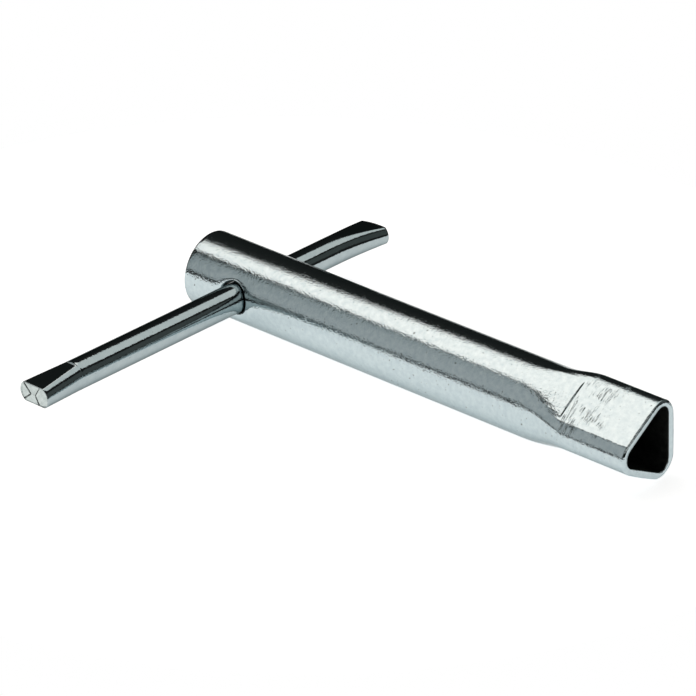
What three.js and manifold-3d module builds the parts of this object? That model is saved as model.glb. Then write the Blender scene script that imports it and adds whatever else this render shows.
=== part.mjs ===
// A T-handled box key for a three-cornered spindle. A round steel tube has a triangular socket pressed into one end
// and a cross hole near the other. A round bar slides through the hole, and its two ends are pinched flat so that it
// can't fall out. Millimetres: +X runs along the tube to the socket's mouth, +Y along the bar and +Z is up.
import * as THREE from 'three';
import { mergeVertices } from 'three/addons/utils/BufferGeometryUtils.js';
import Module from 'manifold-3d';

// Tube
const TUBE_LENGTH = 128;
const TUBE_RADIUS = 9;
const WALL = 1.5;
const BACK_CHAMFER = 0.35;

// Socket: three corner arcs joined by three flats, turned a few degrees from square with the cross hole
const SOCKET_CORNERS = 3;
const CORNER_REACH = 6.15; // tube axis to the centre of a corner arc
const CORNER_RADIUS = 4.16; // outside the wall
const SOCKET_TURN = THREE.MathUtils.degToRad(3.8);
const MOUTH_CHAMFER = 0.25;
const DRIVE_DEPTH = 18.95; // the flats' length, from the mouth to the edge that the die left
const DIE_STEP = 0.2; // how far that edge stands above the flats
const DIE_STEP_LENGTH = 0.36;

// Neck: the flats close in first and the corners a little later
const FLAT_NECK = 13;
const FLAT_NECK_EASE = 0.5; // share of that length with a soft start, before the straight slope
const CORNER_NECK_START = 101.2;
const CORNER_NECK_END = 111.2;
const NECK_SECTIONS = 12;

// Cross hole and sliding bar
const HOLE_FROM_BACK = 14.5;
const HOLE_RADIUS = 3.85;
const BAR_RADIUS = 3.5;
const BAR_LENGTH = 113.6;
const BAR_NEAR_REACH = 72.6; // tube axis to the bar's near end, which the bar is pulled towards
const PINCH_LENGTH = 11.9;
const PINCH_SHOULDER = 0.2; // length of the small step where a pinched flat begins
const FLAT_START = 3.22; // bar axis to a pinched flat, where it begins
const FLAT_END = 2.25; // and at the bar's end
const OVAL_WIDTH_END = 4.2; // half width of the oval that the round bar is squeezed to
const OVAL_HEIGHT_END = 3.16; // its half height, before the flats cut it
const SKEW_END = 0.12; // sideways lean of that oval, per unit of height
const BAR_CHAMFER = 0.25;

// Facets
const ARC_STEPS = 10; // on each socket corner, and on each flat
const SIDE_STEPS = 16; // on each rounded side of the bar
const FLAT_STEPS = 8; // on each of its flats
const HOLE_STEPS = 48;

const DRIVE_START = TUBE_LENGTH - DRIVE_DEPTH;
const NECK_START = DRIVE_START - FLAT_NECK;
const AXIS_HEIGHT = CORNER_REACH * Math.sin(Math.PI / SOCKET_CORNERS - SOCKET_TURN) + CORNER_RADIUS;
const BAR_CENTRE = BAR_LENGTH / 2 - BAR_NEAR_REACH;

const steps = (count) => Array.from({ length: count }, (_, i) => i / count);
const mix = THREE.MathUtils.lerp;
const { clamp, smoothstep } = THREE.MathUtils;

// Points of the rounded triangle as [y, z], in order from +Y towards +Z. An inset moves its outline inwards.
function triangleRing(inset) {
  const side = (2 * Math.PI) / SOCKET_CORNERS;
  const radius = CORNER_RADIUS - inset;
  const ring = [];
  for (let corner = 0; corner < SOCKET_CORNERS; corner += 1) {
    const middle = side * (corner + 0.5) + SOCKET_TURN;
    const centre = [CORNER_REACH * Math.cos(middle), CORNER_REACH * Math.sin(middle)];
    const next = [CORNER_REACH * Math.cos(middle + side), CORNER_REACH * Math.sin(middle + side)];
    const onArc = (angle, [y, z]) => [y + radius * Math.cos(angle), z + radius * Math.sin(angle)];
    for (const part of steps(ARC_STEPS)) ring.push(onArc(middle + (part - 0.5) * side, centre));
    const flatNormal = middle + side / 2;
    const [from, to] = [onArc(flatNormal, centre), onArc(flatNormal, next)];
    for (const part of steps(ARC_STEPS)) ring.push([mix(from[0], to[0], part), mix(from[1], to[1], part)]);
  }
  return ring;
}

// Points of the round tube, each beside the point of the triangle that it is pressed into.
function roundRing(inset) {
  const count = 2 * SOCKET_CORNERS * ARC_STEPS;
  const arcShift = Math.PI / (2 * SOCKET_CORNERS);
  const radius = TUBE_RADIUS - inset;
  return steps(count).map((part) => {
    const angle = 2 * Math.PI * part + arcShift + SOCKET_TURN;
    return [radius * Math.cos(angle), radius * Math.sin(angle)];
  });
}

// How far a ring's point belongs to a flat: 0 in the middle of a corner and 1 on a flat.
function flatShare(index) {
  const step = index % (2 * ARC_STEPS);
  return step < ARC_STEPS ? smoothstep(Math.abs((2 * step) / ARC_STEPS - 1), 0, 1) : 1;
}

// How far the flats are pressed at x: a soft start, then a straight slope that ends at the die's edge.
function flatPressed(x) {
  const part = clamp((x - NECK_START) / FLAT_NECK, 0, 1);
  const slope = 1 / (1 - FLAT_NECK_EASE / 2);
  const soft = (slope * part * part) / (2 * FLAT_NECK_EASE);
  return part < FLAT_NECK_EASE ? soft : slope * (part - FLAT_NECK_EASE / 2);
}

// A section of the tube at x. The step is how much of the die's step is left there, from 1 before it to 0 past it.
function tubeSection(x, inset, step = 0) {
  const round = roundRing(inset);
  const drop = TUBE_RADIUS - CORNER_REACH / 2 - CORNER_RADIUS;
  const cornerPressed = smoothstep(x, CORNER_NECK_START, CORNER_NECK_END);
  return triangleRing(inset).map(([y, z], i) => {
    const [roundY, roundZ] = round[i];
    const left = 1 - (step * flatShare(i) * DIE_STEP) / drop;
    const pressed = left * mix(cornerPressed, flatPressed(x), flatShare(i));
    return new THREE.Vector3(x, mix(roundY, y, pressed), mix(roundZ, z, pressed));
  });
}

// Joins rings of equal length by a band of triangles. The rings close on themselves, as a tube's outside and inside
// do, or else each end is filled by a fan around its middle.
function skin(rings, closesOnItself) {
  const size = rings[0].length;
  const points = rings.flat();
  const faces = [];
  const bands = closesOnItself ? rings.length : rings.length - 1;
  for (let band = 0; band < bands; band += 1) {
    const here = band * size;
    const there = ((band + 1) % rings.length) * size;
    for (let i = 0; i < size; i += 1) {
      const next = (i + 1) % size;
      faces.push(here + i, here + next, there + next, here + i, there + next, there + i);
    }
  }
  if (!closesOnItself) {
    fillEnd(points, faces, rings[0], 0, true);
    fillEnd(points, faces, rings.at(-1), (rings.length - 1) * size, false);
  }
  const geometry = new THREE.BufferGeometry();
  geometry.setAttribute('position', new THREE.Float32BufferAttribute(points.flatMap((p) => p.toArray()), 3));
  geometry.setIndex(faces);
  return geometry;
}

function fillEnd(points, faces, ring, start, isFirst) {
  const middle = ring.reduce((sum, p) => sum.add(p), new THREE.Vector3()).divideScalar(ring.length);
  points.push(middle);
  ring.forEach((_, i) => {
    const next = (i + 1) % ring.length;
    const edge = isFirst ? [start + next, start + i] : [start + i, start + next];
    faces.push(points.length - 1, ...edge);
  });
}

function tubeGeometry() {
  const edge = DRIVE_START - DIE_STEP_LENGTH / 2;
  const neck = steps(NECK_SECTIONS).map((part) => mix(NECK_START, edge, part));
  const pastEdge = [(DRIVE_START + CORNER_NECK_END) / 2, CORNER_NECK_END];
  const outside = [
    tubeSection(0, BACK_CHAMFER),
    tubeSection(BACK_CHAMFER, 0),
    ...neck.map((x) => tubeSection(x, 0, 1)),
    tubeSection(edge, 0, 1),
    tubeSection(edge + DIE_STEP_LENGTH, 0),
    ...pastEdge.map((x) => tubeSection(x, 0)),
    tubeSection(TUBE_LENGTH - MOUTH_CHAMFER, 0),
    tubeSection(TUBE_LENGTH, MOUTH_CHAMFER),
  ];
  const inside = [
    tubeSection(TUBE_LENGTH, WALL),
    ...pastEdge.reverse().map((x) => tubeSection(x, WALL)),
    tubeSection(DRIVE_START, WALL),
    ...neck.reverse().map((x) => tubeSection(x, WALL)),
    tubeSection(0, WALL),
  ];
  return skin([...outside, ...inside], true);
}

// A section of the bar at y: an oval of that half width and half height, cut by two flats at ±flat and skewed. With
// no flats it is the round bar, its points at the same angles as those where the flats begin.
function barSection(y, width, height, flat, skew) {
  const tilt = Math.asin(FLAT_START / BAR_RADIUS);
  const half = flat === null ? tilt : Math.asin(flat / height);
  const ring = [];
  const add = (x, z) => ring.push(new THREE.Vector3(x - skew * z, y, z));
  for (const side of [1, -1]) {
    for (const part of steps(SIDE_STEPS)) {
      const angle = (1 - 2 * part) * half;
      add(side * width * Math.cos(angle), side * height * Math.sin(angle));
    }
    for (const part of steps(FLAT_STEPS)) {
      const angle = -tilt - part * (Math.PI - 2 * tilt);
      const x = flat === null ? width * Math.cos(angle) : width * Math.cos(half) * (1 - 2 * part);
      const z = flat === null ? height * Math.sin(angle) : -flat;
      add(side * x, side * z);
    }
  }
  return ring;
}

// One pinched end, from the bar's middle outwards: sign is -1 for the near end and +1 for the far one.
function pinchedEnd(sign) {
  const at = (fromEnd) => sign * (BAR_LENGTH / 2 - fromEnd);
  const endSection = (y, inset) => {
    return barSection(y, OVAL_WIDTH_END - inset, OVAL_HEIGHT_END - inset, FLAT_END - inset, SKEW_END);
  };
  return [
    barSection(at(PINCH_LENGTH), BAR_RADIUS, BAR_RADIUS, null, 0),
    barSection(at(PINCH_LENGTH - PINCH_SHOULDER), BAR_RADIUS, BAR_RADIUS, FLAT_START, 0),
    endSection(at(BAR_CHAMFER), 0),
    endSection(at(0), BAR_CHAMFER),
  ];
}

function barGeometry() {
  return skin([...pinchedEnd(-1).reverse(), ...pinchedEnd(1)], false);
}

const wasm = await Module();
wasm.setup();

// A solid from a geometry whose shared vertices are merged.
function solid(geometry) {
  const bare = geometry.clone();
  bare.deleteAttribute('normal');
  bare.deleteAttribute('uv');
  const merged = mergeVertices(bare);
  return new wasm.Manifold(new wasm.Mesh({
    numProp: 3,
    vertProperties: new Float32Array(merged.attributes.position.array),
    triVerts: new Uint32Array(merged.index.array),
  }));
}

function toGeometry(manifold) {
  const mesh = manifold.getMesh();
  const geometry = new THREE.BufferGeometry();
  geometry.setAttribute('position', new THREE.BufferAttribute(new Float32Array(mesh.vertProperties), 3));
  geometry.setIndex(new THREE.BufferAttribute(new Uint32Array(mesh.triVerts), 1));
  return geometry;
}

// The tube with the bar's hole bored through both of its walls.
function socketTube() {
  const bore = new THREE.CylinderGeometry(HOLE_RADIUS, HOLE_RADIUS, 3 * TUBE_RADIUS, HOLE_STEPS);
  bore.translate(HOLE_FROM_BACK, 0, 0);
  const geometry = toGeometry(solid(tubeGeometry()).subtract(solid(bore)));
  geometry.computeVertexNormals();
  const zinc = new THREE.MeshStandardMaterial({ color: 0xbac8cb, roughness: 0.25, metalness: 1 });
  const mesh = new THREE.Mesh(geometry, zinc);
  mesh.name = 'socket_tube';
  return mesh;
}

function slidingBar() {
  const geometry = barGeometry();
  geometry.computeVertexNormals();
  const brightZinc = new THREE.MeshStandardMaterial({ color: 0xa2aeb0, roughness: 0.15, metalness: 1 });
  const mesh = new THREE.Mesh(geometry, brightZinc);
  mesh.name = 'sliding_bar';
  mesh.position.set(HOLE_FROM_BACK, BAR_CENTRE, 0);
  return mesh;
}

// The tool lies on its side, so the origin is under the middle of its box, on the surface that it lies on.
const boxKey = new THREE.Group();
boxKey.add(socketTube(), slidingBar());
boxKey.position.set(-TUBE_LENGTH / 2, -BAR_CENTRE, AXIS_HEIGHT);

export default boxKey;
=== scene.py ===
"""The looks of a T-handled box key: a zinc-plated socket tube and the bar that slides through it.

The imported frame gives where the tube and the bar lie. Both are rebuilt here as finer meshes of the same
shape, with the pierced hole's rolled lip, the die's edge across the socket's flats, the rounded rims and the
cropped ends of the bar. The tool's own lengths are in millimetres until to_row() turns them into the frame's
metres: x runs along the tube from its back end, and y and z are measured from the tube's axis.
"""

import math

import bpy
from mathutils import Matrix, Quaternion, Vector


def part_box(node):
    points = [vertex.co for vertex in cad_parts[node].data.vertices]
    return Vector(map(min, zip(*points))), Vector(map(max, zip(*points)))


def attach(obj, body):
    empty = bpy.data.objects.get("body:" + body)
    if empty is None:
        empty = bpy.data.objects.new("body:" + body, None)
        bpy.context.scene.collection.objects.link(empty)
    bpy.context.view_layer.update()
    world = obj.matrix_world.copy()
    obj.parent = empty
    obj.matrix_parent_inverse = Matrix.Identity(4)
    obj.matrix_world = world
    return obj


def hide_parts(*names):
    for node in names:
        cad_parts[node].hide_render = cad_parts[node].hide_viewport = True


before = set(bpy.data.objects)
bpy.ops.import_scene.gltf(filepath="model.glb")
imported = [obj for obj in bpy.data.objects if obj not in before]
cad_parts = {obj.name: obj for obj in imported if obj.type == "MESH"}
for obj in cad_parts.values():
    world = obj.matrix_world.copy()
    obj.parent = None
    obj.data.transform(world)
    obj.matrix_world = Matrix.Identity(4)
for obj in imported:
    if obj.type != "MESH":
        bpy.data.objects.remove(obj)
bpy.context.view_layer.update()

MM = 0.001

# Tube and socket
TUBE_RADIUS = 9.0
WALL = 1.5
BACK_ROUND = 0.35
BACK_TURNS = (0, 22, 45, 68)
BACK_INNER_CHAMFER = 0.14
SOCKET_CORNERS = 3
CORNER_SIDE = 180 / SOCKET_CORNERS  # degrees that a corner turns on each side of its middle
CORNER_REACH = 6.15
CORNER_RADIUS = 4.16
CORNER_TIP = CORNER_REACH + CORNER_RADIUS
CORNER_BENDS = ((19, 3.5), (50, 5.2), (60, 1.3))  # degrees from a corner's middle, and the radius up to there
SOCKET_TURN = math.radians(3.8)
FLAT_CROWN = 0.12
DRIVE_DEPTH = 18.95
DIE_STEP = 0.24
DIE_STEP_LENGTH = 0.34
STEP_FADE = 0.1
FLAT_NECK = 13.0
FLAT_NECK_EASE = 0.5
CORNER_NECK_START = 101.2
CORNER_NECK_END = 111.2
RIM_LENGTH = 0.6
FLAT_CHAMFER = 0.13
CORNER_CHAMFER = 0.5
CHAMFER_SHAPE = ((1, 0), (0.93, 0.05), (0.07, 0.9), (0, 1))  # its shares back from the end and inwards
MOUTH_INNER_CHAMFER = 0.126

# Cross hole: its edge rolls inwards, and the wall around it is drawn in a little
HOLE_RADIUS = 3.85
LIP_RADIUS = 0.42
LIP_TURNS = (25, 50, 72, 90)
DISH_DEPTH = 0.32
DISH_REACH = 1.3

# Bar: two pinched ends, each squeezed to an oval that two flats cut, and skewed a little by the dies
PINCH_LENGTH = 11.9
SHOULDER = 0.2
FLAT_START = 3.22
FLAT_END = 2.25
OVAL_WIDTH_END = 4.2
OVAL_HEIGHT_END = 3.16
SKEW_END = 0.12
EDGE_ROUND = 0.05
END_ROUND = 0.22
END_TURNS = (30, 60, 90)
CLAMP_MARK = ((0.0, 0.0), (0.15, 0.04), (0.3, 0.04), (0.5, 0.0))  # along the bar from the pinch, and how deep
FAR_PINCH_LENGTH = 16.0
FAR_FLAT_END = 2.05
FAR_DROOP = 0.45
FAR_WEAR = 1.4
FAR_WEAR_MIDDLE = 1.8
FAR_WEAR_REACH = 6.0
FAR_WEAR_CURVE = 2.5

# The bar's cropped ends: four facets that meet in a short ridge, with a crease between each two
RIDGE_LEFT = -0.87
RIDGE_RIGHT = 0.35
LEFT_SLOPE = 0.85
RIGHT_SLOPE = 2.0
FACET_RISE = 0.09
CREASE_DEPTH = 0.2
CREASE_WIDTH = 0.13
PAINTED_SHADE_SHARE = 0.45  # of a crease's depth, past which the crease is painted dark as shade

# Mesh steps: columns run round a piece, rows along it, and a patch is the square of wall round a hole
ARC_COLUMNS = 32
COLUMNS = 2 * SOCKET_CORNERS * ARC_COLUMNS
PATCH_CELLS = 24
PATCH_LOOPS = 12
PATCH_CROWDING = 1.4
CELL = 2 * math.pi * TUBE_RADIUS / COLUMNS
BACK_ROW = 1.0
BODY_ROW = 2.0
NECK_ROW = 0.42
STEP_ROW = DIE_STEP_LENGTH / 5
CORNER_ROW = 0.35
SOCKET_ROW = 1.2
BAR_COLUMNS = 160
BAR_ROW = 3.0
BAR_ROWS_FROM_NEAR = 0.8
BAR_ROWS_FROM_FAR = 0.5
SHOULDER_ROWS = (0.3, 0.7, 1.0)
SHOULDER_EASE = 0.04
WEDGE_ROWS = 24
WEDGE_FIRST_ROW = 0.004
FAR_ROWS = 32
FACE_LOOPS = 44

# Each piece's material slots. The tube's inside and the bar's third slot take a near-black metal that is
# painted shade.
OUTSIDE, INSIDE = 0, 1
PLATED, CROPPED, PAINTED_SHADE = 0, 1, 2

tube_low, tube_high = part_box("socket_tube")
bar_low, bar_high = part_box("sliding_bar")
TUBE_LENGTH = (tube_high.x - tube_low.x) / MM
BAR_RADIUS = (bar_high.z - bar_low.z) / 2 / MM
BAR_LENGTH = (bar_high.y - bar_low.y) / MM
AXIS_START = Vector((tube_low.x, tube_high.y - TUBE_RADIUS * MM, (bar_low.z + bar_high.z) / 2))
HOLE_FROM_BACK = ((bar_low.x + bar_high.x) / 2 - tube_low.x) / MM
BAR_MIDDLE = ((bar_low.y + bar_high.y) / 2 - AXIS_START.y) / MM
DRIVE_START = TUBE_LENGTH - DRIVE_DEPTH
NECK_START = DRIVE_START - FLAT_NECK

# Where the die's marks are full, fade and end along the tube, and where the mouth's filed rim starts
MARKS_START = DRIVE_START + 0.6
MARKS_FADE = TUBE_LENGTH - 9.5
MARKS_END = TUBE_LENGTH - 7
FILED_START = TUBE_LENGTH - 0.5
FILED_FULL = TUBE_LENGTH - 0.4


def to_row(x, y, z):
    """A point of the tool in millimetres, as a point of the frame in metres."""
    return AXIS_START + Vector((x, y, z)) * MM


def smooth(t):
    """0 to 1, with a soft start and a soft end."""
    t = min(1.0, max(0.0, t))
    return t * t * (3 - 2 * t)


def eased(t):
    """0 to 1: a soft start, then a straight slope that ends in an edge."""
    t = min(1.0, max(0.0, t))
    steep = 1 / (1 - FLAT_NECK_EASE / 2)
    if t < FLAT_NECK_EASE:
        return steep * t * t / (2 * FLAT_NECK_EASE)
    return steep * (t - FLAT_NECK_EASE / 2)


def mix(a, b, t):
    return a + (b - a) * t


def spaced(start, end, step):
    """Values from start up to but not at end, at most a step apart."""
    count = max(1, math.ceil((end - start) / step))
    return [mix(start, end, i / count) for i in range(count)]


class Surface:
    """Vertices and faces gathered loop by loop."""

    def __init__(self):
        self.points = []
        self.faces = []
        self.materials = []

    def point(self, x, y, z):
        self.points.append(to_row(x, y, z))
        return len(self.points) - 1

    def loop(self, coordinates):
        return [self.point(*xyz) for xyz in coordinates]

    def face(self, corners, material=0):
        self.faces.append(corners)
        self.materials.append(material)

    def bridge(self, here, there, material=0, skip=()):
        """Quads between two closed loops, but not in skip's columns. A list gives each column's material."""
        count = len(here)
        slots = material if isinstance(material, list) else [material] * count
        for i in range(count):
            if i not in skip:
                after = (i + 1) % count
                self.face((here[i], here[after], there[after], there[i]), slots[i])

    def build(self, name, materials):
        """The finished object, smooth shaded, with those materials in its slots."""
        mesh = bpy.data.meshes.new(name)
        mesh.from_pydata(self.points, [], self.faces)
        for material in materials:
            mesh.materials.append(material)
        mesh.polygons.foreach_set("material_index", self.materials)
        mesh.polygons.foreach_set("use_smooth", [True] * len(self.faces))
        mesh.update()
        piece = bpy.data.objects.new(name, mesh)
        bpy.context.scene.collection.objects.link(piece)
        return piece


# ---------------------------------------------------------------------------------------------- socket tube


def corner_outline(turn):
    """(out, along) on a corner's outside, where its surface has turned that many degrees from its middle."""
    out, along, past = CORNER_TIP, 0.0, 0.0
    for limit, radius in CORNER_BENDS:
        here = math.radians(min(abs(turn), limit))
        out -= radius * (math.cos(past) - math.cos(here))
        along += radius * (math.sin(here) - math.sin(past))
        past = here
    return out, math.copysign(along, turn)


def turned(out, along, angle):
    """(y, z) of a point that lies out and along from the axis, seen in the direction of angle."""
    y = out * math.cos(angle) - along * math.sin(angle)
    return y, out * math.sin(angle) + along * math.cos(angle)


def socket_point(column, inset):
    """(y, z) on the pressed triangle's outline, and how flat it is: 0 in a corner's middle, 1 on a flat."""
    side = 2 * math.pi / SOCKET_CORNERS
    corner, step = divmod(column, 2 * ARC_COLUMNS)
    middle = side * (corner + 0.5) + SOCKET_TURN
    depth = inset / WALL
    inner_radius = CORNER_RADIUS - WALL
    if step < ARC_COLUMNS:
        turn = CORNER_SIDE * (2 * step / ARC_COLUMNS - 1)
        out, along = corner_outline(turn)
        inner_out = CORNER_REACH + inner_radius * math.cos(math.radians(turn))
        inner_along = inner_radius * math.sin(math.radians(turn))
        y, z = turned(mix(out, inner_out, depth), mix(along, inner_along, depth), middle)
        return y, z, smooth(abs(turn) / CORNER_SIDE)
    part = step / ARC_COLUMNS - 1
    out, along = turned(*corner_outline(CORNER_SIDE), -side / 2)
    inner_out = CORNER_REACH * math.cos(side / 2) + inner_radius
    inner_along = -CORNER_REACH * math.sin(side / 2)
    crown = FLAT_CROWN * (1 - (2 * part - 1) ** 2)
    half_width = mix(along, inner_along, depth)
    y, z = turned(mix(out + crown, inner_out, depth), half_width * (1 - 2 * part), middle + side / 2)
    return y, z, 1.0


def step_share(column):
    """How much of the die's step a column shows: all of it in the middle of a flat, none on a corner."""
    step = column % (2 * ARC_COLUMNS)
    if step < ARC_COLUMNS:
        return 0.0
    part = step / ARC_COLUMNS - 1
    return smooth(min(part, 1 - part) / STEP_FADE)


def tube_point(x, column, inset):
    """A point of the tube's wall: round at the back, pressed to a triangle in the socket."""
    angle = 2 * math.pi * column / COLUMNS + math.pi / (2 * SOCKET_CORNERS) + SOCKET_TURN
    round_y = (TUBE_RADIUS - inset) * math.cos(angle)
    round_z = (TUBE_RADIUS - inset) * math.sin(angle)
    y, z, on_flat = socket_point(column, inset)
    corner = smooth((x - CORNER_NECK_START) / (CORNER_NECK_END - CORNER_NECK_START))
    pressed = mix(corner, eased((x - NECK_START) / FLAT_NECK), on_flat)
    if inset < WALL:
        drop = TUBE_RADIUS - CORNER_REACH / 2 - CORNER_RADIUS
        past_step = smooth((x - DRIVE_START) / DIE_STEP_LENGTH + 0.5)
        pressed *= 1 - DIE_STEP / drop * step_share(column) * (1 - past_step)
    return x, mix(round_y, y, pressed), mix(round_z, z, pressed)


def tube_rows():
    """Where the sections along the tube lie, and the number of the first one that the hole's patch uses."""
    patch_start = HOLE_FROM_BACK - PATCH_CELLS * CELL
    patch_end = HOLE_FROM_BACK + PATCH_CELLS * CELL
    rows = spaced(BACK_ROUND, patch_start, BACK_ROW)
    first_patch_row = len(rows)
    rows += [patch_start + i * CELL for i in range(2 * PATCH_CELLS)]
    rows += spaced(patch_end, NECK_START, BODY_ROW)
    rows += spaced(NECK_START, DRIVE_START - DIE_STEP_LENGTH, NECK_ROW)
    rows += spaced(DRIVE_START - DIE_STEP_LENGTH, DRIVE_START + DIE_STEP_LENGTH, STEP_ROW)
    rows += spaced(DRIVE_START + DIE_STEP_LENGTH, CORNER_NECK_END, CORNER_ROW)
    rows += spaced(CORNER_NECK_END, TUBE_LENGTH - RIM_LENGTH, SOCKET_ROW)
    return rows + [TUBE_LENGTH - RIM_LENGTH], first_patch_row


def patch_border(rows, first_row, middle_column):
    """The vertices round a square patch of the wall, anticlockwise as seen from outside the tube."""
    last_row = first_row + 2 * PATCH_CELLS
    left, right = middle_column - PATCH_CELLS, middle_column + PATCH_CELLS
    border = [rows[first_row][c % COLUMNS] for c in range(left, right)]
    border += [row[right % COLUMNS] for row in rows[first_row:last_row]]
    border += [rows[last_row][c % COLUMNS] for c in range(right, left, -1)]
    border += [row[left % COLUMNS] for row in rows[last_row:first_row:-1]]
    return border


def hole_loops(surface, border, side, radius, edge_radius, dish):
    """Loops on a round wall of that radius, from a patch's border in to a hole's edge, which is the last."""
    loops = []
    for n in range(PATCH_LOOPS - 1, -1, -1):
        share = (n / PATCH_LOOPS) ** PATCH_CROWDING
        loop = []
        for index in border:
            start = (surface.points[index] - AXIS_START) / MM
            across = Vector((start.x - HOLE_FROM_BACK, start.z))
            edge = across.normalized() * edge_radius
            here = edge.lerp(across, share)
            drawn_in = dish * math.exp(-(here.length - edge_radius) / DISH_REACH) * (1 - share)
            out = math.sqrt(radius**2 - here.y**2) - drawn_in
            loop.append((HOLE_FROM_BACK + here.x, side * out, here.y))
        loops.append(loop)
    return loops


def lip_loops(edge_loop, side):
    """Loops that roll the hole's edge inwards, from the wall's surface to the hole's wall."""
    loops = []
    for turn in LIP_TURNS:
        angle = math.radians(turn)
        shrink = (HOLE_RADIUS + LIP_RADIUS * (1 - math.sin(angle))) / (HOLE_RADIUS + LIP_RADIUS)
        sink = LIP_RADIUS * (1 - math.cos(angle))
        loops.append([(mix(HOLE_FROM_BACK, x, shrink), y - side * sink, z * shrink) for x, y, z in edge_loop])
    return loops


def pierce(surface, outer_border, inner_border, side):
    """One end of the cross hole: its outer lip, its wall, and the edge on the tube's inside."""
    outside = hole_loops(surface, outer_border, side, TUBE_RADIUS, HOLE_RADIUS + LIP_RADIUS, DISH_DEPTH)
    lip = lip_loops(outside[-1], side)
    inside = hole_loops(surface, inner_border, side, TUBE_RADIUS - WALL, HOLE_RADIUS, DISH_DEPTH)
    here = outer_border
    for loop in outside + lip:
        there = surface.loop(loop)
        surface.bridge(here, there, OUTSIDE)
        here = there
    for loop in reversed(inside):
        there = surface.loop(loop)
        surface.bridge(here, there, INSIDE)
        here = there
    surface.bridge(here, inner_border, INSIDE)


def socket_tube(outside, inside):
    """The tube: its outer and inner wall, the ends of the cross hole, and the rims that join the walls."""
    surface = Surface()
    sections, first_patch_row = tube_rows()
    outer = [surface.loop(tube_point(x, c, 0) for c in range(COLUMNS)) for x in sections]
    inner = [surface.loop(tube_point(x, c, WALL) for c in range(COLUMNS)) for x in sections]
    quarter = math.pi / (2 * SOCKET_CORNERS) + SOCKET_TURN
    middles = [round((a - quarter) / (2 * math.pi) * COLUMNS) for a in (math.pi, 2 * math.pi)]
    holed = {c % COLUMNS for m in middles for c in range(m - PATCH_CELLS, m + PATCH_CELLS)}
    for i in range(len(sections) - 1):
        in_patch = first_patch_row <= i < first_patch_row + 2 * PATCH_CELLS
        skip = holed if in_patch else ()
        surface.bridge(outer[i], outer[i + 1], OUTSIDE, skip)
        surface.bridge(inner[i + 1], inner[i], INSIDE, skip)
    for middle, side in zip(middles, (-1, 1)):
        outer_border = patch_border(outer, first_patch_row, middle)
        inner_border = patch_border(inner, first_patch_row, middle)
        pierce(surface, outer_border, inner_border, side)
    close_rim(surface, mouth_profile, outer[-1], inner[-1])
    close_rim(surface, back_profile, inner[0], outer[0])
    return surface.build("socket_tube_plated", [outside, inside])


def mouth_profile(column):
    """(x, inset) over the mouth's rim: a chamfer, widest on the corners, the flat end and the bore's edge."""
    end = TUBE_LENGTH
    chamfer = mix(CORNER_CHAMFER, FLAT_CHAMFER, socket_point(column, 0)[2])
    outside = [(end - chamfer * back, chamfer * inwards) for back, inwards in CHAMFER_SHAPE]
    return outside + [(end, WALL - MOUTH_INNER_CHAMFER), (end - MOUTH_INNER_CHAMFER, WALL)]


def back_profile(column):
    """(x, inset) over the back rim, from inside to outside. It is the same in every column."""
    turns = [math.radians(a) for a in BACK_TURNS]
    outside = [(BACK_ROUND * (1 - math.cos(t)), BACK_ROUND * (1 - math.sin(t))) for t in turns]
    return [(BACK_INNER_CHAMFER, WALL), (0, WALL - BACK_INNER_CHAMFER)] + outside


def close_rim(surface, profile, first, last):
    """A rim between two loops, in the inside's material while it follows the bore's wall."""
    columns = [profile(c) for c in range(COLUMNS)]
    in_bore = [inset == WALL for _, inset in columns[0]]
    here = first
    for n in range(len(in_bore)):
        there = surface.loop(tube_point(columns[c][n][0], c, columns[c][n][1]) for c in range(COLUMNS))
        surface.bridge(here, there, INSIDE if n == 0 and in_bore[0] else OUTSIDE)
        here = there
    surface.bridge(here, last, INSIDE if in_bore[-1] else OUTSIDE)


# ---------------------------------------------------------------------------------------------- sliding bar


def soft_limit(value, limit):
    """The value held below the limit, with a small round where it meets it."""
    over = (value - limit) / EDGE_ROUND
    return value - EDGE_ROUND * (max(0.0, over) + math.log1p(math.exp(-abs(over))))


def bar_section(y, width, height, flat, skew=0.0):
    """An oval of that half width and half height, its top and bottom cut flat, and then skewed sideways."""
    section = []
    for i in range(BAR_COLUMNS):
        angle = -2 * math.pi * i / BAR_COLUMNS
        rise = height * math.sin(angle)
        z = math.copysign(soft_limit(abs(rise), flat), rise)
        section.append((width * math.cos(angle) - skew * z, y, z))
    return section


def round_section(y, radius):
    uncut = 2 * radius
    return bar_section(y, radius, radius, uncut)


def pinched_section(y, part, inset=0.0):
    """Part is 0 where the flats begin and 1 at the bar's end."""
    return bar_section(
        y,
        mix(BAR_RADIUS, OVAL_WIDTH_END, part) - inset,
        mix(BAR_RADIUS, OVAL_HEIGHT_END, part) - inset,
        mix(FLAT_START, FLAT_END, part) - inset,
        mix(0, SKEW_END, part),
    )


def crease(x, z, slope, start):
    """How deep a point lies in the groove along z = slope * (x - start)."""
    away = abs(z - slope * (x - start)) / math.hypot(1, slope)
    return CREASE_DEPTH * math.exp(-((away / CREASE_WIDTH) ** 2))


def creases(x, z):
    """The grooves between a cropped end's four facets, which run from the ridge's ends to the rim."""
    if x > RIDGE_RIGHT:
        return crease(x, abs(z), RIGHT_SLOPE, RIDGE_RIGHT)
    if x < RIDGE_LEFT:
        return crease(-x, abs(z), LEFT_SLOPE, -RIDGE_LEFT)
    return 0.0


def face_slot(x, z):
    """A cropped end's material: near-black painted shade at the bottom of a crease."""
    return PAINTED_SHADE if creases(x, z) > PAINTED_SHADE_SHARE * CREASE_DEPTH else CROPPED


def face_depth(x, z):
    """How far a point of a cropped end lies below the ridge."""
    right = RIGHT_SLOPE * (x - RIDGE_RIGHT)
    left = LEFT_SLOPE * (RIDGE_LEFT - x)
    return FACET_RISE * max(abs(z), right, left) + creases(x, z)


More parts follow.
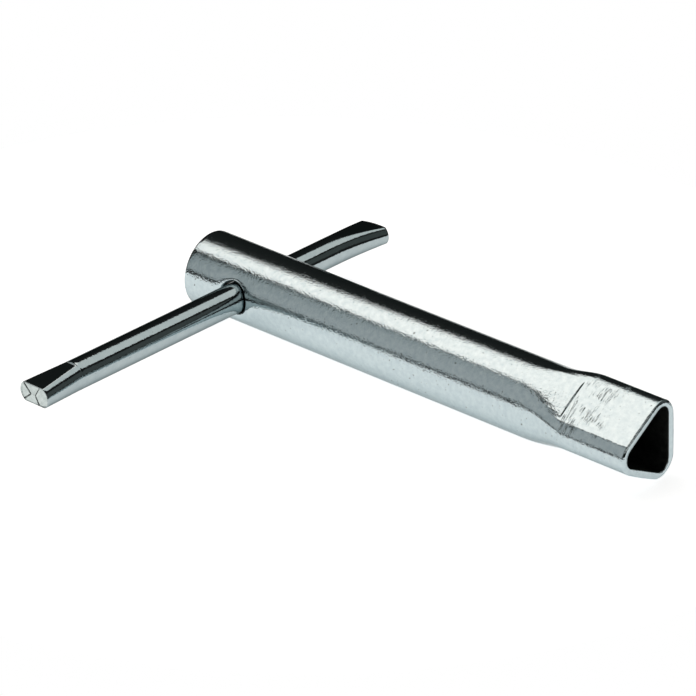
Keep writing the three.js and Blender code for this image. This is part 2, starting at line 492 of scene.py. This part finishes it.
def near_outline():
    """The near end's loops: a short step down to the flats, then the wedge between them."""
    start = BAR_LENGTH / 2 - PINCH_LENGTH
    outline = [round_section(-start - SHOULDER_EASE, BAR_RADIUS)]
    for part in SHOULDER_ROWS:
        flat = mix(BAR_RADIUS, FLAT_START, part)
        outline.append(bar_section(-start - SHOULDER * part, BAR_RADIUS, BAR_RADIUS, flat))
    wedge = BAR_LENGTH / 2 - END_ROUND - start - SHOULDER
    for part in [WEDGE_FIRST_ROW] + [i / WEDGE_ROWS for i in range(1, WEDGE_ROWS + 1)]:
        outline.append(pinched_section(-start - SHOULDER - wedge * part, part))
    for turn in END_TURNS:
        inset = END_ROUND * (1 - math.cos(math.radians(turn)))
        at = BAR_LENGTH / 2 - END_ROUND * (1 - math.sin(math.radians(turn)))
        outline.append(pinched_section(-at, 1, inset))
    return outline


def far_wear(x):
    """How far the far end's corners are worn back."""
    return FAR_WEAR * (abs(x - FAR_WEAR_MIDDLE) / FAR_WEAR_REACH) ** FAR_WEAR_CURVE


def far_section(part, inset=0.0):
    """The far end's flats come in without a step, and the end droops a little."""
    flat = mix(BAR_RADIUS, FAR_FLAT_END, part) - inset
    width = mix(BAR_RADIUS, OVAL_WIDTH_END, part**2) - inset
    height = mix(BAR_RADIUS, OVAL_HEIGHT_END, part) - inset
    at = BAR_LENGTH / 2 - END_ROUND - (FAR_PINCH_LENGTH - END_ROUND) * (1 - part)
    section = bar_section(at, width, height, flat, mix(0, SKEW_END, part))
    return [(x, y - far_wear(x) * part**3, z - FAR_DROOP * part**2) for x, y, z in section]


def far_outline():
    """The far end's loops, from the round bar to the edge of its cropped face."""
    outline = [far_section(i / FAR_ROWS) for i in range(FAR_ROWS + 1)]
    for turn in END_TURNS:
        inset = END_ROUND * (1 - math.cos(math.radians(turn)))
        shift = END_ROUND * math.sin(math.radians(turn))
        outline.append([(x, y + shift, z) for x, y, z in far_section(1, inset)])
    return outline


def bar_end(surface, here, sign):
    """One pinched end, the near one where sign is -1, from the round bar's loop out to the cropped face."""
    outline = near_outline() if sign < 0 else far_outline()
    droop = 0 if sign < 0 else FAR_DROOP
    rim = outline.pop()
    for section in outline:
        there = bar_loop(surface, section)
        join_bar(surface, here, there, sign)
        here = there

    def face_point(x, z):
        wear = 0 if sign < 0 else far_wear(x)
        y = sign * (BAR_LENGTH / 2 - wear - face_depth(x, z))
        return x, y, z - droop

    for n in range(FACE_LOOPS):
        size = 1 - n / FACE_LOOPS
        spots = [(x * size, (z + droop) * size) for x, y, z in rim]
        there = bar_loop(surface, [face_point(x, z) for x, z in spots])
        join_bar(surface, here, there, sign, [face_slot(x, z) for x, z in spots])
        here = there
    middle = bar_loop(surface, [face_point(0, 0)])[0]
    for i, index in enumerate(here):
        after = here[(i + 1) % len(here)]
        surface.face((middle, index, after) if sign < 0 else (middle, after, index), CROPPED)


def bar_loop(surface, section):
    """A loop of the surface from a section whose x and y are measured from the bar's middle."""
    return surface.loop((HOLE_FROM_BACK + x, BAR_MIDDLE + y, z) for x, y, z in section)


def join_bar(surface, here, there, sign, material=PLATED):
    """Bridges two loops of the end on that side of the bar, with the faces pointing out."""
    if sign < 0:
        here, there = there, here
    surface.bridge(here, there, material)


def sliding_bar(plated, cropped, painted_shade_metal):
    """The bar: its round length with the clamp's mark, and its two pinched ends."""
    surface = Surface()
    near = PINCH_LENGTH - BAR_LENGTH / 2
    far = BAR_LENGTH / 2 - FAR_PINCH_LENGTH
    places = [(near + along, depth) for along, depth in CLAMP_MARK]
    places += [(y, 0) for y in spaced(near + BAR_ROWS_FROM_NEAR, far - BAR_ROWS_FROM_FAR, BAR_ROW)]
    rings = [bar_loop(surface, round_section(y, BAR_RADIUS - depth)) for y, depth in places]
    for here, there in zip(rings, rings[1:]):
        surface.bridge(here, there, PLATED)
    bar_end(surface, rings[0], -1)
    bar_end(surface, rings[-1], 1)
    return surface.build("sliding_bar_plated", [plated, cropped, painted_shade_metal])


# ------------------------------------------------------------------------------------------------ materials


class Shader:
    """Adds nodes to a material's tree and links them. Noise scales are per metre, bump depths in metres."""

    def __init__(self, name):
        self.material = bpy.data.materials.new(name)
        self.material.use_nodes = True
        self.nodes = self.material.node_tree.nodes
        self.links = self.material.node_tree.links
        self.surface = self.nodes["Principled BSDF"]
        self.place = self.nodes.new("ShaderNodeTexCoord").outputs["Object"]

    def stretched(self, scale):
        """Coordinates for a noise with a scale of its own along each axis."""
        mapping = self.nodes.new("ShaderNodeMapping")
        mapping.inputs["Scale"].default_value = scale
        self.links.new(self.place, mapping.inputs["Vector"])
        return mapping.outputs["Vector"]

    def noise(self, scale, detail=2.0, place=None):
        noise = self.nodes.new("ShaderNodeTexNoise")
        noise.inputs["Scale"].default_value = scale
        noise.inputs["Detail"].default_value = detail
        self.links.new(place or self.place, noise.inputs["Vector"])
        return noise.outputs["Fac"]

    def ramp(self, value, low, high, from_low=0.3, from_high=0.7):
        """Runs from low to high as the value runs from from_low to from_high."""
        ranged = self.nodes.new("ShaderNodeMapRange")
        ranged.inputs["From Min"].default_value = from_low
        ranged.inputs["From Max"].default_value = from_high
        ranged.inputs["To Min"].default_value = low
        ranged.inputs["To Max"].default_value = high
        self.links.new(value, ranged.inputs["Value"])
        return ranged.outputs["Result"]

    def blend(self, value, low, high):
        """From low to high, each a plain colour or another node's colour."""
        blend = self.nodes.new("ShaderNodeMix")
        blend.data_type = "RGBA"
        colours = [socket for socket in blend.inputs if socket.type == "RGBA"]
        for socket, colour in zip(colours, (low, high)):
            if isinstance(colour, tuple):
                socket.default_value = (*colour, 1)
            else:
                self.links.new(colour, socket)
        self.links.new(value, blend.inputs[0])
        return next(socket for socket in blend.outputs if socket.type == "RGBA")

    def bump(self, height, depth, below=None, mask=None):
        """A bump on top of the one below, as strong as the mask."""
        bump = self.nodes.new("ShaderNodeBump")
        bump.inputs["Distance"].default_value = depth
        self.links.new(height, bump.inputs["Height"])
        if below:
            self.links.new(below, bump.inputs["Normal"])
        if mask:
            self.links.new(mask, bump.inputs["Strength"])
        return bump.outputs["Normal"]

    def product(self, a, b):
        product = self.nodes.new("ShaderNodeMath")
        product.operation = "MULTIPLY"
        self.links.new(a, product.inputs[0])
        self.links.new(b, product.inputs[1])
        return product.outputs["Value"]

    def window(self, start, full, fade, end):
        """1 between full and fade along the tube, in mm from its back end, and 0 outside start and end."""
        split = self.nodes.new("ShaderNodeSeparateXYZ")
        self.links.new(self.place, split.inputs["Vector"])
        rise = self.ramp(split.outputs["X"], 0, 1, to_row(start, 0, 0).x, to_row(full, 0, 0).x)
        fall = self.ramp(split.outputs["X"], 1, 0, to_row(fade, 0, 0).x, to_row(end, 0, 0).x)
        return self.product(rise, fall)

    def drive(self, socket, value):
        self.links.new(value, self.surface.inputs[socket])


def tube_zinc():
    """Satin zinc plate: a grain that frays the reflections, sparse pits, and the die's marks on the flats."""
    shader = Shader("tube_zinc")
    shader.surface.inputs["Metallic"].default_value = 1.0
    # The low specular tint dims grazing reflections: painted shade in place of the shaded floor under the
    # tool
    shader.surface.inputs["Specular Tint"].default_value = (0.5, 0.52, 0.52, 1)
    tone = shader.ramp(shader.noise(900, 4), 0, 1)
    plate = shader.blend(tone, (0.46, 0.545, 0.57), (0.53, 0.61, 0.625))
    pits = shader.ramp(shader.noise(1250, 1), 0, 0.7, 0.73, 0.79)
    shader.drive("Base Color", shader.blend(pits, plate, (0.1, 0.11, 0.1)))
    shader.drive("Roughness", shader.ramp(shader.noise(1500, 3), 0.07, 0.13))
    normal = shader.bump(shader.noise(2500, 1), 4.2e-5)
    normal = shader.bump(shader.noise(1300, 1), 1.6e-5, normal)
    normal = shader.bump(shader.noise(320, 2), 1.6e-5, normal)
    patches = shader.ramp(shader.noise(230, 2), 0, 1, 0.43, 0.56)
    marked = shader.product(shader.window(DRIVE_START, MARKS_START, MARKS_FADE, MARKS_END), patches)
    marks = shader.ramp(shader.noise(1, 2, shader.stretched((2400, 300, 300))), 0, 1, 0.3, 0.5)
    normal = shader.bump(marks, 7e-5, normal, marked)
    rim = shader.window(FILED_START, FILED_FULL, TUBE_LENGTH + 1, TUBE_LENGTH + 2)
    shader.drive("Normal", shader.bump(shader.noise(2200, 3), 5e-5, normal, rim))
    return shader.material


def bar_zinc():
    """Smoother plate on the drawn bar, a little darker than the tube's."""
    shader = Shader("bar_zinc")
    shader.surface.inputs["Metallic"].default_value = 1.0
    # Lower still on the bar: painted shade in place of the floor shaded by the bar and the tube
    shader.surface.inputs["Specular Tint"].default_value = (0.36, 0.38, 0.38, 1)
    tone = shader.ramp(shader.noise(500, 3), 0, 1)
    plate = shader.blend(tone, (0.34, 0.4, 0.415), (0.38, 0.44, 0.45))
    pits = shader.ramp(shader.noise(1300, 1), 0, 0.5, 0.73, 0.79)
    shader.drive("Base Color", shader.blend(pits, plate, (0.09, 0.1, 0.1)))
    shader.drive("Roughness", shader.ramp(shader.noise(1800, 3), 0.05, 0.1))
    normal = shader.bump(shader.noise(2500, 1), 1.3e-5)
    normal = shader.bump(shader.noise(1100, 1), 0.9e-5, normal)
    shader.drive("Normal", shader.bump(shader.noise(1, 2, shader.stretched((1500, 90, 1500))), 5e-6, normal))
    return shader.material


def cropped_zinc():
    """The bar's cropped faces: duller, lighter metal."""
    shader = Shader("cropped_zinc")
    shader.surface.inputs["Metallic"].default_value = 1.0
    tone = shader.ramp(shader.noise(900, 3), 0, 1)
    shader.drive("Base Color", shader.blend(tone, (0.44, 0.5, 0.49), (0.58, 0.64, 0.63)))
    shader.drive("Roughness", shader.ramp(shader.noise(1400, 3), 0.2, 0.34))
    shader.drive("Normal", shader.bump(shader.noise(1100, 3), 3e-5))
    return shader.material


def painted_shade_steel():
    """Painted shade: a near-black metal for the tube's inside and the bottoms of the bar's creases, where
    shade falls.
    """
    shader = Shader("painted_shade_steel")
    shader.surface.inputs["Metallic"].default_value = 1.0
    tone = shader.ramp(shader.noise(700, 4), 0, 1)
    shader.drive("Base Color", shader.blend(tone, (0.035, 0.04, 0.038), (0.07, 0.075, 0.07)))
    shader.drive("Roughness", shader.ramp(shader.noise(1200, 3), 0.4, 0.6))
    shader.drive("Normal", shader.bump(shader.noise(1500, 3), 1e-5))
    return shader.material


# --------------------------------------------------------------------------------- camera, floor and lights

AIM = to_row(49.8, -9.36, 0)
CAMERA_AZIMUTH = math.radians(40.68)
CAMERA_ELEVATION = math.radians(26.88)
CAMERA_ROLL = math.radians(0.89)
CAMERA_DISTANCE = 1.0929
CAMERA_LENS = 255.3

# Places in metres to the right of and away from the tube's back end, as the camera sees them. Heights are
# above the tube's axis.
FLOOR_SHIFT = (0.02, -0.03)
FLOOR_RADIUS = 0.135
FLOOR_SIDES = 96
SOFTBOX_HEIGHT = 0.3
FAR_OUTLINE = [(-0.36, 0.2), (-0.25, 0.035), (-0.16, 0.193)]
LEFT_OUTLINE = [(-0.25, 0.035), (-0.13, -0.145), (0.06, -0.071), (0.06, 0.222)]
LEFT_OUTLINE += [(0.0, 0.222), (-0.04, 0.208), (-0.11, 0.195), (-0.16, 0.193)]
RIGHT_OUTLINE = [(0.06, -0.071), (0.311, 0.027), (0.5, 0.246), (0.17, 0.27), (0.11, 0.222), (0.06, 0.222)]

# Upright panels: a name, where the two sides stand, the lower and upper edges' heights, colour, strength
UPRIGHT_PANELS = [
    ("left_bounce_near", (-0.5, -0.4), (-0.5, -0.1), 0.03, 0.6, (0.98, 1.0, 1.0), 0.52),
    ("left_bounce", (-0.5, -0.1), (-0.5, 0.025), 0.03, 0.6, (0.95, 1.0, 1.0), 0.44),
    ("front_fill", (-0.45, -0.7), (0.9, -0.7), 0.25, 0.9, (1.0, 0.98, 0.95), 0.75),
    ("right_bounce", (0.9, -0.3), (0.9, 1.0), 0.13, 0.54, (0.9, 1.0, 0.96), 0.1),
]


def horizontal(azimuth):
    """Unit vectors to the right of and away from a camera at that azimuth."""
    right = Vector((math.cos(azimuth), math.sin(azimuth), 0))
    away = Vector((-math.sin(azimuth), math.cos(azimuth), 0))
    return right, away


def make_camera():
    camera = bpy.data.objects.new("camera", bpy.data.cameras.new("camera"))
    camera.data.lens = CAMERA_LENS
    right, away = horizontal(CAMERA_AZIMUTH)
    back = Vector((0, 0, math.sin(CAMERA_ELEVATION))) - away * math.cos(CAMERA_ELEVATION)
    camera.location = AIM + back * CAMERA_DISTANCE
    camera.rotation_mode = "QUATERNION"
    camera.rotation_quaternion = Quaternion(back, CAMERA_ROLL) @ back.to_track_quat("Z", "Y")
    camera.data.clip_start = 0.05
    camera.data.clip_end = 50
    bpy.context.scene.collection.objects.link(camera)
    bpy.context.scene.camera = camera


def glow(name, colour, strength, diffuse=0.0):
    """A surface that gives an even light of its own, with some of the light that falls on it added."""
    material = bpy.data.materials.new(name)
    material.use_nodes = True
    surface = material.node_tree.nodes["Principled BSDF"]
    surface.inputs["Base Color"].default_value = (diffuse, diffuse, diffuse, 1)
    surface.inputs["Roughness"].default_value = 1.0
    surface.inputs["Specular IOR Level"].default_value = 0.0
    surface.inputs["Emission Color"].default_value = (*colour, 1)
    surface.inputs["Emission Strength"].default_value = strength
    return material


def stage_sheet(name, corners, material):
    """A flat sheet that is no part of the tool."""
    mesh = bpy.data.meshes.new(name)
    mesh.from_pydata(corners, [], [tuple(range(len(corners)))])
    mesh.materials.append(material)
    sheet = bpy.data.objects.new(name, mesh)
    bpy.context.scene.collection.objects.link(sheet)
    return sheet


def make_floor():
    """A pale round table top, whose rim is lost against the pale room beyond it."""
    right, away = horizontal(CAMERA_AZIMUTH)
    middle = AXIS_START + right * FLOOR_SHIFT[0] + away * FLOOR_SHIFT[1]
    corners = []
    for i in range(FLOOR_SIDES):
        angle = 2 * math.pi * i / FLOOR_SIDES
        x = middle.x + FLOOR_RADIUS * math.cos(angle)
        corners.append((x, middle.y + FLOOR_RADIUS * math.sin(angle), 0))
    stage_sheet("floor", corners, glow("floor_white", (1, 1, 1), strength=0.8, diffuse=0.66))


def make_panel(name, corners, colour, strength):
    """A light panel that shows in reflections and lights the floor, and never stands in a camera's way."""
    panel = stage_sheet(name, corners, glow(name, colour, strength))
    panel.visible_camera = False


def make_lights():
    """Three softboxes that meet edge to edge over the tool, and bounce cards that stand around it."""
    right, away = horizontal(CAMERA_AZIMUTH)

    def spot(u, w, height):
        return AXIS_START + right * u + away * w + Vector((0, 0, height))

    def softbox(name, outline, colour, strength):
        make_panel(name, [spot(u, w, SOFTBOX_HEIGHT) for u, w in outline], colour, strength)

    softbox("softbox_far", FAR_OUTLINE, (1.0, 0.94, 0.9), 1.4)
    softbox("softbox_left", LEFT_OUTLINE, (1.0, 0.92, 0.87), 1.64)
    softbox("softbox_right", RIGHT_OUTLINE, (1.0, 1.0, 0.97), 1.05)
    for name, one, other, low, high, colour, strength in UPRIGHT_PANELS:
        corners = [spot(*one, low), spot(*other, low), spot(*other, high), spot(*one, high)]
        make_panel(name, corners, colour, strength)


def make_world():
    """Dark to reflections, as an unlit room is, and pale where a camera looks past the floor."""
    world = bpy.data.worlds.new("studio")
    world.use_nodes = True
    nodes, links = world.node_tree.nodes, world.node_tree.links
    room = nodes["Background"]
    room.inputs["Color"].default_value = (0.9, 1.0, 0.95, 1)
    room.inputs["Strength"].default_value = 0.02
    pale = nodes.new("ShaderNodeBackground")
    pale.inputs["Color"].default_value = (1, 1, 1, 1)
    pale.inputs["Strength"].default_value = 1.0
    choose = nodes.new("ShaderNodeMixShader")
    links.new(nodes.new("ShaderNodeLightPath").outputs["Is Camera Ray"], choose.inputs["Fac"])
    links.new(room.outputs["Background"], choose.inputs[1])
    links.new(pale.outputs["Background"], choose.inputs[2])
    links.new(choose.outputs["Shader"], nodes["World Output"].inputs["Surface"])
    bpy.context.scene.world = world


make_camera()
make_floor()
make_lights()
make_world()
bpy.context.scene.view_settings.view_transform = "Standard"

# Painted shade: the near-black metal that darkens the tube's bore and the bottoms of the bar's creases
painted_shade_metal = painted_shade_steel()
tube = socket_tube(tube_zinc(), painted_shade_metal)
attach(tube, "socket_tube")
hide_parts("socket_tube")

bar = sliding_bar(bar_zinc(), cropped_zinc(), painted_shade_metal)
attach(bar, "sliding_bar")
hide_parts("sliding_bar")
